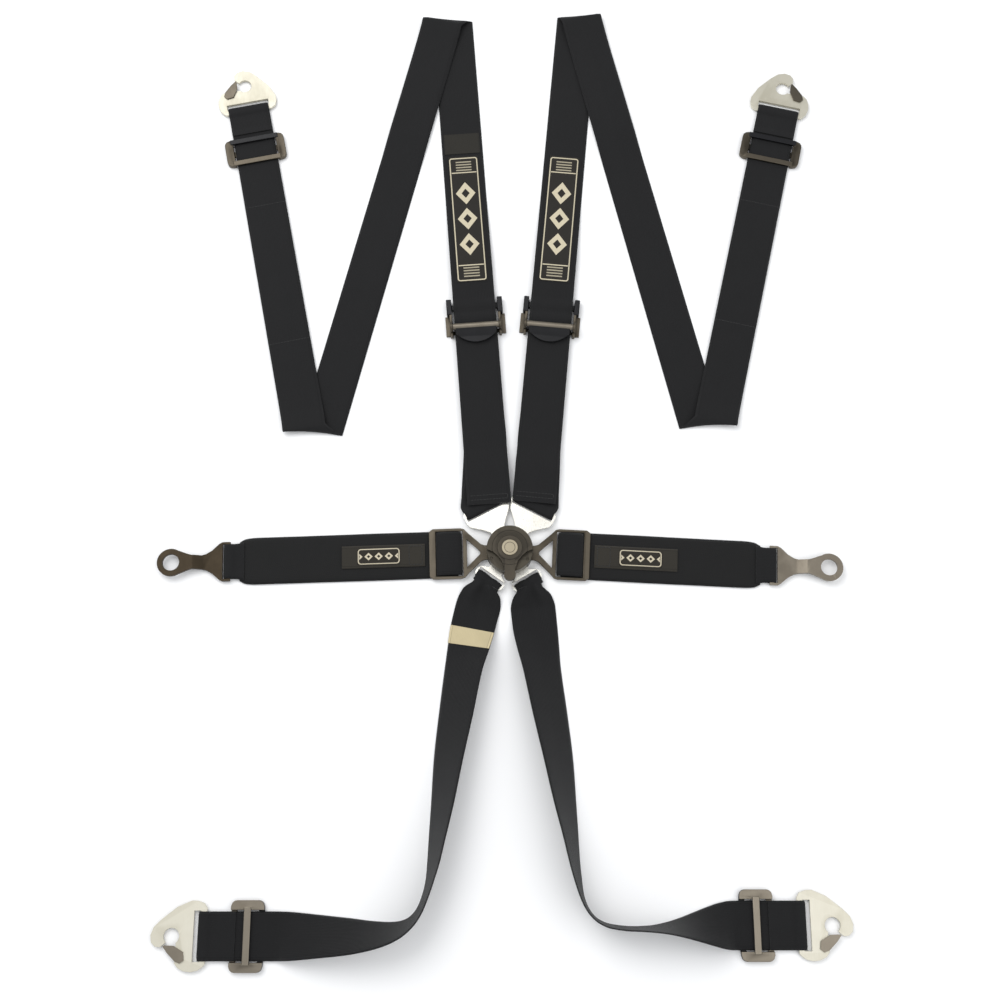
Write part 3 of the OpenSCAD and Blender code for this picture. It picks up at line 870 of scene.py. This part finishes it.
def hook_loop(name: str, run: Run, m: Finishes, node: str) -> bpy.types.Object:
    """The doubled end that wraps a hook's bar and bends where it leaves the strap.

    Args:
        name: the piece's name.
        run: the hook's own frame.
        m: the finishes.
        node: the plain piece it stands for.

    Returns:
        The loop.
    """
    low = [(-39.0, 1.5), (-36.0, 1.7), (-30.0, 2.5), (-15.0, 2.5), (-9.4, 0.85)]
    turn = arc(-4.6, HOOK_MID, BAR_WRAP, -90, 90, 8)
    top = [(-9.4, 5.95), (-15.0, 4.2), (-30.0, 4.2), (-36.0, 4.75), (-39.0, 4.95)]
    made = Strap(
        name, station_list(run, low + turn + top, WEB_HALF), m.web, step=1.6, wave=0.0
    ).build()
    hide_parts(node)
    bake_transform(made)
    return made


@dataclass
class Buckle:
    """The rotary buckle with its knob, badge and inner works."""

    m: Finishes

    def build(self) -> None:
        """Builds every piece of the buckle."""
        m = self.m
        for node, finish, body, slot in (
            ("buckle_base", m.cast, "buckle", "gunmetal"),
            ("buckle_housing", m.cast, "buckle", "gunmetal"),
            ("housing_rivets", m.cast, "buckle", "zinc"),
            ("latch_star", m.zinc, "buckle", "zinc"),
            ("return_spring", m.zinc, "buckle", "zinc"),
            ("cam_plate", m.zinc, "knob", "zinc"),
            ("cam_spindle", m.zinc, "knob", "zinc"),
            ("knob_badge", m.badge, "knob", "black"),
            ("release_knob", m.knob, "knob", "gunmetal"),
        ):
            riding(polished(node, finish, 0.7 if node == "release_knob" else 0.4), body)


@dataclass
class Shoulder:
    """One shoulder: tongue, anchor strap, adjuster, the folded strap, slider and hook."""

    side: Side
    m: Finishes

    def build(self) -> None:
        """Builds every piece of this shoulder."""
        i, w, m = self.side.value, self.side.word, self.m
        anchor, strap = f"{w}_shoulder_anchor", f"{w}_shoulder_strap"
        riding(polished(f"{w}_shoulder_tongue", m.bright, 0.5), anchor)
        riding(polished(f"{w}_adjuster_frame", m.gunmetal), anchor)
        riding(polished(f"{w}_adjuster_bar", m.black, 0.8), anchor)
        inner = INNER[i]
        tab = polished(f"{w}_release_tab", m.black, 0.8)
        tinted(tab, lambda p: inner.along(p) > -15.6, m.bare_steel_and_lit_bracket)
        riding(tab, f"{w}_tab")
        out = OUTER[i]
        slide = polished(f"{w}_slider", m.gunmetal, 0.9)
        tinted(slide, lambda p: out.along(p) > 4.5, m.black)
        riding(slide, f"{w}_strap_slider")
        riding(polished(f"{w}_hook", m.zinc, 0.6), f"{w}_shoulder_hook")
        riding(polished(f"{w}_gate", m.dark, 0.3), f"{w}_hook_gate")
        self.anchor_strap(anchor)
        self.runs(strap)
        self.trim(strap)
        at = out.local(0, EDGE_S[i] + 2, 0)
        frame_run = Run(at.x, at.y, out.heading)
        hook_loop(f"{w}_hook_webbing", frame_run, m, f"{w}_hook_loop")

    @staticmethod
    def wrap(x: float, start: float, end: float, steps: int) -> List[Tuple[float, float]]:
        """Points of the webbing round the tongue's bar."""
        return arc(x, TONGUE_MID, BAR_WRAP, start, end, steps)

    def anchor_strap(self, body: str) -> None:
        """Builds the short strap from the tongue to the adjuster.

        Args:
            body: the body it rides on.
        """
        i, w, half = self.side.value, self.side.word, WEB_HALF
        inner = INNER[i]
        out = Run(0.0, 0.0, SHOULDER[i])
        rows: List[Station] = []
        for y in (inner.y - 12, 232.0, 170.0, 118.0):
            rows.append(Station(inner.at_y(y, 0.9), -inner.right * half))
        start = out.local(0, 67.0, 1.9)
        rows.append(Station(start, -out.right * half))
        ring = self.wrap(60.3, -60, -90, 1) + self.wrap(55.7, -90, -270, 8)
        ring += self.wrap(60.3, 90, 60, 1)
        rows += [Station(out.local(0, s, z), -out.right * (half - 0.4)) for s, z in ring]
        rows.append(Station(out.local(0, 69.0, 4.6), -out.right * half))
        rows.append(Station(inner.at_y(92.0, 3.0), -inner.right * half))
        rows.append(Station(inner.at_y(116.0, 2.6), -inner.right * half))
        strap = Strap(f"{w}_anchor_webbing", rows, self.m.web, step=2.0, wave=0.0, seed=3 + i)
        made = strap.build()
        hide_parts(f"{w}_anchor_strap")
        riding(made, body)

    def runs(self, body: str) -> None:
        """Builds the long strap's three runs and its folds.

        Args:
            body: the body they ride on.
        """
        i, w, half = self.side.value, self.side.word, WEB_HALF
        inner, middle, outer = INNER[i], MIDDLE[i], OUTER[i]
        tail = TAIL_Y[i]
        places = [(y, level(y)) for y in (tail, tail + 11, tail + 12.5, 90, 128, 200)]
        # two soft rolls where the strap is drawn over the adjuster's bar
        rolls = ((-12, 6.9), (-6, 7.1), (-2, 7.8), (2, 7.8), (6, 7.1), (9, 6.9), (12, 7.6))
        rolls += ((16, 7.9), (20, 7.5), (25, 6.9))
        places += [(inner.y + s, z) for s, z in rolls]
        places += [(y, level(y)) for y in (345, 370, 400, 430, 520, 580, TOP_Y[i] - 30)]
        rows = [
            Station(inner.at_y(y, z), inner.right * half, 2.5 if k < 2 else WEB_THICK)
            for k, (y, z) in enumerate(places)
        ]
        self.long_run(f"{w}_inner_webbing", rows, 10 + i, f"{w}_inner_run", body, 0.02)
        rows = self.folded(inner, middle, TOP_Y[i], -1, BOTTOM_Y[i] + 30, True)
        self.long_run(f"{w}_middle_webbing", rows, 20 + i, f"{w}_middle_run", body, 0.05)
        end = outer.y + (EDGE_S[i] - 36) * math.cos(math.radians(outer.heading))
        rows = self.folded(middle, outer, BOTTOM_Y[i], 1, end, False)
        self.long_run(f"{w}_outer_webbing", rows, 30 + i, f"{w}_outer_run", body, 0.04)

    def trim(self, body: str) -> None:
        """Sews on the label, the left side's patch and the rows of stitching.

        Args:
            body: the body they ride on.
        """
        i, w, m = self.side.value, self.side.word, self.m
        inner, outer, half = INNER[i], OUTER[i], LABEL_WIDTH / 2
        span = (318, 345, 370, 400, 430, 481)
        rows = [Station(inner.at_y(y, level(y) + 1.2), inner.right * half, 0.55) for y in span]
        label = Strap(f"{w}_woven_label", rows, m.shoulder_label, wave=0.0).build()
        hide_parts(f"{w}_label")
        riding(label, body)
        if self.side is Side.LEFT:
            span, half = (485, 497, 511), 21.0
            rows = [Station(inner.at_y(y, level(y) + 1.25), inner.right * half, 0.7) for y in span]
            patch = Strap("left_twill_patch", rows, m.patch, wave=0.0).build()
            riding(patch, body)
        for k, y in enumerate(SEAM_Y[i]):
            ahead = (y - outer.y) / math.cos(math.radians(outer.heading))
            line = [(-23, ahead), (23, ahead)]
            row = stitches(f"{w}_seam_{k}", outer, line, lambda s: RUN_Z + 0.85, m.thread)
            riding(row, body)
        low = TAIL_Y[i] - inner.y + 4
        box = [(-20.5, low), (20.5, low), (20.5, low + 5), (-20.5, low + 5)]
        hem = stitches(
            f"{w}_tail_stitching", inner, box, lambda s: level(inner.y + s) + 1.3, m.thread
        )
        riding(hem, body)

    def long_run(
        self, name: str, rows: List[Station], seed: int, node: str, body: str, wave: float
    ) -> None:
        """Builds one run of the strap and ties it down.

        Args:
            name: the piece's name.
            rows: its stations.
            seed: of its small ripples.
            node: the plain piece it stands for.
            body: the body it rides on.
            wave: height of the ripples in millimetres.
        """
        made = Strap(name, rows, self.m.web, step=4.0, wave=wave, seed=seed).build()
        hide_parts(node)
        riding(made, body)

    @staticmethod
    def folded(a: Run, b: Run, crease: float, way: int, end: float, down: bool) -> List[Station]:
        """Stations that turn over at a crease and follow the next run.

        Args:
            a: the run it comes from.
            b: the run it goes on along.
            crease: the y of the fold's edge.
            way: -1 for a fold at the top, 1 at the bottom.
            end: the y where it stops.
            down: whether it comes down to the floor before it stops.

        Returns:
            The stations.
        """
        # each row: distance from the crease, share of the next run, height
        rows = [(29.98, 0.0, 0.8), (14.0, 0.0, 0.8), (5.0, 0.0, 0.9)]
        for t in range(-60, 91, 15):
            c, s = math.cos(math.radians(t)), math.sin(math.radians(t))
            rows.append((3.2 - 3.2 * c, (t + 60) / 150, 4 + 3.2 * s))
        rows += [(12.0, 1.0, 6.4), (30.0, 1.0, 4.3), (60.0, 1.0, RUN_Z)]
        if down:
            rows += [(150.0, 1.0, RUN_Z)] + [(off, 1.0, 0.85) for off in (200.0, 300.0, 420.0)]
        else:
            rows += [(150.0, 1.0, RUN_Z), (250.0, 1.0, RUN_Z)]
        found = []
        for off, f, z in rows:
            y = crease + way * off
            centre = a.at_y(y, z).lerp(b.at_y(y, z), f)
            found.append(Station(centre, a.right.lerp(b.right, f).normalized() * WEB_HALF))
        found.append(Station(b.at_y(end, rows[-1][2]), b.right * WEB_HALF))
        return found


@dataclass
class Lap:
    """One lap belt: frame, roll, sleeve, pull tab, label and bolt-in bracket."""

    side: Side
    m: Finishes

    def build(self) -> None:
        """Builds every piece of this lap belt."""
        w, m = self.side.word, self.m
        run = Run(0.0, 0.0, LAP[self.side.value])
        left = self.side is Side.LEFT
        held = "buckle" if left else "right_lap_anchor"
        belt, eye = f"{w}_lap", f"{w}_lap_eye"
        riding(polished(f"{w}_lap_frame", m.gunmetal, 0.6), held)
        # both brackets are one satin gunmetal: the left takes a darker copy as painted shade, the
        # right a lighter one as painted light
        riding(polished(f"{w}_eye_bracket", m.shaded_bracket_metal if left else m.bare_steel_and_lit_bracket, 0.6), eye)
        self.roll_and_sleeve(run, held, belt)
        self.pull(run, belt)
        self.bracket_loop(run)

    def roll_and_sleeve(self, run: Run, held: str, belt: str) -> None:
        """Builds the padded roll in the frame and the sleeve over the belt.

        Args:
            run: the belt's line.
            held: the frame's body.
            belt: the belt's body.
        """
        i, w, m = self.side.value, self.side.word, self.m
        rise = [(52.2, 3.7), (52.6, 5.9), (56.0, 7.9), (65.5, 9.0)]
        fall = [(75.0, 7.9), (78.6, 5.9), (79.0, 3.7)]
        rows = station_list(run, rise + fall, WEB_HALF)
        roll = Strap(f"{w}_lap_wrap", rows, m.web, step=1.5, wave=0.0).build()
        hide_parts(f"{w}_lap_roll")
        riding(roll, held)
        end = LAP_END[i]
        widths = [(56, 26), (64, 26), (150, 26.2), (220, 26)]
        widths += [(end - 34, 26), (end - 22, 25), (end - 15, 21.5)]
        rows = [Station(run.local(0, s, 1.7), run.right * h, 3.0) for s, h in widths]
        sleeve = Strap(f"{w}_lap_sleeve", rows, m.sleeve, wave=0.12, seed=40 + i).build()
        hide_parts(f"{w}_lap_belt")
        riding(sleeve, belt)

    def pull(self, run: Run, belt: str) -> None:
        """Builds the pull tab with its label and its stitched box.

        Args:
            run: the belt's line.
            belt: the belt's body.
        """
        w, m = self.side.word, self.m
        rows = station_list(run, [(s, 4.05, 1.3) for s in (92, 100, 140, 182)], PULL_WIDTH / 2)
        tape = Strap(f"{w}_pull_tape", rows, m.pull, wave=0.0).build()
        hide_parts(f"{w}_pull_tab")
        riding(tape, belt)
        rows = station_list(run, [(s, 4.95, 0.5) for s in (119, 142, 165)], LAP_LABEL_WIDTH / 2)
        label = Strap(f"{w}_lap_label", rows, m.lap_label, wave=0.0, across=8).build()
        riding(label, belt)
        box = [(-10.4, 95), (10.4, 95), (10.4, 109), (-10.4, 109), (-10.4, 95)]
        riding(stitches(f"{w}_pull_stitching", run, box, lambda s: 4.75, m.thread), belt)

    def bracket_loop(self, run: Run) -> None:
        """Builds the doubled webbing that wraps the bracket and bends beside it.

        Args:
            run: the belt's line.
        """
        end, w = LAP_END[self.side.value], self.side.word
        low = [(end - 20.0, 1.7), (end - 12.0, 2.3), (end - 6.5, 1.3), (end - 4.2, 1.0)]
        turn = arc(end - 1.2, 3.65, 2.65, -90, 90, 8)
        top = [(end - 4.2, 6.3), (end - 6.5, 6.0), (end - 12.0, 4.4), (end - 20.0, 4.1)]
        rows = [
            Station(run.local(0, s, z), run.right * (19.0 + max(0.0, end - 10 - s) * 0.2), 1.4)
            for s, z in low + turn + top
        ]
        loop = Strap(f"{w}_bracket_webbing", rows, self.m.web, step=1.5, wave=0.0).build()
        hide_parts(f"{w}_bracket_loop")
        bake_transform(loop)


@dataclass
class Leg:
    """One leg strap, gathered at its tongue and turned on edge before its hook."""

    side: Side
    m: Finishes
    rows: Sequence[Sequence[float]]

    def build(self) -> None:
        """Builds every piece of this leg strap."""
        i, w, m = self.side.value, self.side.word, self.m
        leg, hook = f"{w}_leg", f"{w}_leg_hook_body"
        riding(polished(f"{w}_leg_tongue", m.bright, 0.5), leg)
        slide = polished(f"{w}_leg_slider", m.bare_steel_and_lit_bracket, 0.9)
        inner = (LEG_SLIDER_X[i], -1.0 if self.side is Side.LEFT else 1.0)
        tinted(slide, lambda p: (p.x - inner[0]) * inner[1] < -3.0, m.black)
        riding(slide, f"{w}_leg_strap_slider")
        riding(polished(f"{w}_leg_hook", m.zinc, 0.6), hook)
        riding(polished(f"{w}_leg_gate", m.bare_steel_and_lit_bracket, 0.3), f"{w}_leg_hook_gate")
        out = Run(0.0, 0.0, LEG[i])
        start = [(46.5, 3.2), (42.0, 2.3), (39.5, 2.3)]
        start += arc(37.7, TONGUE_MID, BAR_WRAP, -90, -270, 8) + [(40.5, 7.5), (43.0, 7.0)]
        stations = [Station(out.local(0, s, z), out.right * 15, WEB_THICK, 0.6) for s, z in start]
        way = -1.0 if self.side is Side.LEFT else 1.0
        # each row: x, y, how far the strap is turned on edge, half width, height
        for k, row in enumerate(self.rows):
            before, after = self.rows[max(k - 1, 0)], self.rows[min(k + 1, len(self.rows) - 1)]
            d = Vector((after[0] - before[0], after[1] - before[1], 0)).normalized()
            bank = math.radians(row[2])
            half = Vector((d.y * math.cos(bank), -d.x * math.cos(bank), way * math.sin(bank)))
            pucker = (3.0, 3.4, 1.2)[k] if k < 3 else 0.0
            stations.append(
                Station(Vector((row[0], row[1], row[4])), half * row[3], WEB_THICK, pucker)
            )
        end = Run(LEG_HOOK_X[i], LEG_Y[i], 90.0 if self.side is Side.LEFT else -90.0)
        stations[-1] = Station(end.local(0, -38.0, RUN_Z), stations[-1].half)
        strap = Strap(
            f"{w}_leg_webbing", stations, m.web, step=3.0, across=18, wave=0.02, seed=50 + i
        )
        made = strap.build()
        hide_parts(f"{w}_leg_strap")
        riding(made, leg)
        hook_loop(f"{w}_leg_hook_webbing", end, m, f"{w}_leg_hook_loop")
        if self.side is Side.LEFT:
            along, pos = strap.path()[:2]
            far = along > 40
            low = float(np.interp(85.0, -pos[far, 1], along[far]))
            band = strap.over("left_cream_band", low, low + 20, 1.3, 1.0, m.cream).build()
            riding(band, leg)


LEG_LEFT = (
    (-26.5, -36.5, 0, 13, 7.8), (-30, -46, 0, 21, 4.4), (-34, -60, 0, 24, 1.4),
    (-38.9, -80, 6, 24, 3.4), (-43.5, -103, 20, 24, 9.2), (-48.8, -128, 32, 24, 13.8),
    (-56.4, -176, 40, 24, 16.6), (-63.8, -223, 49, 24, 19.2), (-69.5, -269, 59, 24, 21.6),
    (-73.8, -299, 66, 24, 23), (-78.1, -329, 73, 24, 23.9), (-81.5, -346, 78, 24, 24.4),
    (-85.6, -360, 80, 24, 24.5), (-91, -373, 80, 24, 24.5), (-99.5, -384, 77, 24, 24.3),
    (-112, -391.5, 70, 24, 23.5), (-128, -395.5, 61, 24, 22.2), (-144, -397.2, 53, 24, 20.6),
    (-160, -397.8, 45, 24, 18.6), (-177, -398, 38, 24, 16.4), (-193, -398, 31, 24, 14),
    (-209, -398, 22, 24, 11), (-224, -398, 11, 24, 7), (-238, -398, 0, 24, 3.2),
    (-279.9, -398, 0, 24, 3.2),
)
LEG_RIGHT = (
    (21.5, -39, 0, 13, 7.8), (23.5, -50, 0, 21, 4.4), (25, -62, 0, 24, 1.4),
    (27, -82, 6, 24, 3.4), (30, -104, 20, 24, 9.2), (33.8, -128, 32, 24, 13.8),
    (41.9, -176, 40, 24, 16.6), (50, -223, 49, 24, 19.2), (56.5, -269, 60, 24, 21.8),
    (61.1, -299, 68, 24, 23.2), (65.4, -329, 75, 24, 24.1), (68.4, -345, 79, 24, 24.4),
    (72, -360, 83, 24, 24.6), (78, -373, 85, 24, 24.7), (87, -382.5, 86, 24, 24.8),
    (100, -388, 86, 24, 24.8), (122, -390.4, 86, 24, 24.8), (139, -390.6, 84, 24, 24.7),
    (155, -390.2, 78, 24, 24.3), (171, -389.6, 68, 24, 23.2), (186, -388.8, 55, 24, 20.8),
    (200, -388.1, 40, 24, 17), (212, -387.7, 24, 24, 11.8), (222, -387.5, 9, 24, 6.2),
    (230, -387.5, 0, 24, 3.2), (263.4, -387.5, 0, 24, 3.2),
)


@dataclass
class Studio:
    """A pale floor, soft daylight and the camera."""

    height: float = 1.472
    foot: Tuple[float, float] = (-0.0105, -0.3594)
    target: Tuple[float, float] = (-0.0105, 0.0599)
    lens: float = 50.1

    def build(self) -> None:
        """Sets the floor, the lights and the camera."""
        mesh = bmesh.new()
        bmesh.ops.create_grid(mesh, x_segments=2, y_segments=2, size=6.0)
        paper = Shader("white paper")
        grain = paper.noise(paper.node("ShaderNodeTexCoord").outputs["Object"], 400.0)
        paper.set(Base_Color=srgb("FBFBFB"), Roughness=0.85)
        paper.bump(grain, 0.05, 0.0002)
        floor = finish_mesh("floor", mesh, paper.material)
        world = bpy.data.worlds.new("daylight")
        bpy.context.scene.world = world
        world.use_nodes = True
        back = world.node_tree.nodes["Background"]
        back.inputs[0].default_value = srgb("F6F8FB")
        back.inputs[1].default_value = 0.72
        for name, place, size, power in (
            ("key", (-0.9, 0.9, 1.9), 1.6, 26.0),
            ("fill", (1.1, -0.5, 1.7), 1.8, 12.0),
        ):
            light = bpy.data.lights.new(name, "AREA")
            light.size = size
            light.energy = power
            lamp = bpy.data.objects.new(name, light)
            bpy.context.scene.collection.objects.link(lamp)
            lamp.location = place
            lamp.rotation_euler = (-Vector(place)).to_track_quat("-Z", "Y").to_euler()
        eye = bpy.data.cameras.new("camera")
        eye.lens = self.lens
        camera = bpy.data.objects.new("camera", eye)
        bpy.context.scene.collection.objects.link(camera)
        camera.location = (*self.foot, self.height)
        look = Vector((*self.target, 0.0)) - Vector(camera.location)
        camera.rotation_euler = look.to_track_quat("-Z", "Y").to_euler()
        bpy.context.scene.camera = camera
        bpy.context.scene.view_settings.view_transform = "Standard"


def main() -> None:
    """Builds the harness."""
    m = Finishes()
    Studio().build()
    for part in (
        Buckle(m),
        *(Shoulder(side, m) for side in Side),
        *(Lap(side, m) for side in Side),
        Leg(Side.LEFT, m, LEG_LEFT),
        Leg(Side.RIGHT, m, LEG_RIGHT),
    ):
        log.info("building %s", type(part).__name__)
        part.build()


if __name__ == "__main__":
    main()
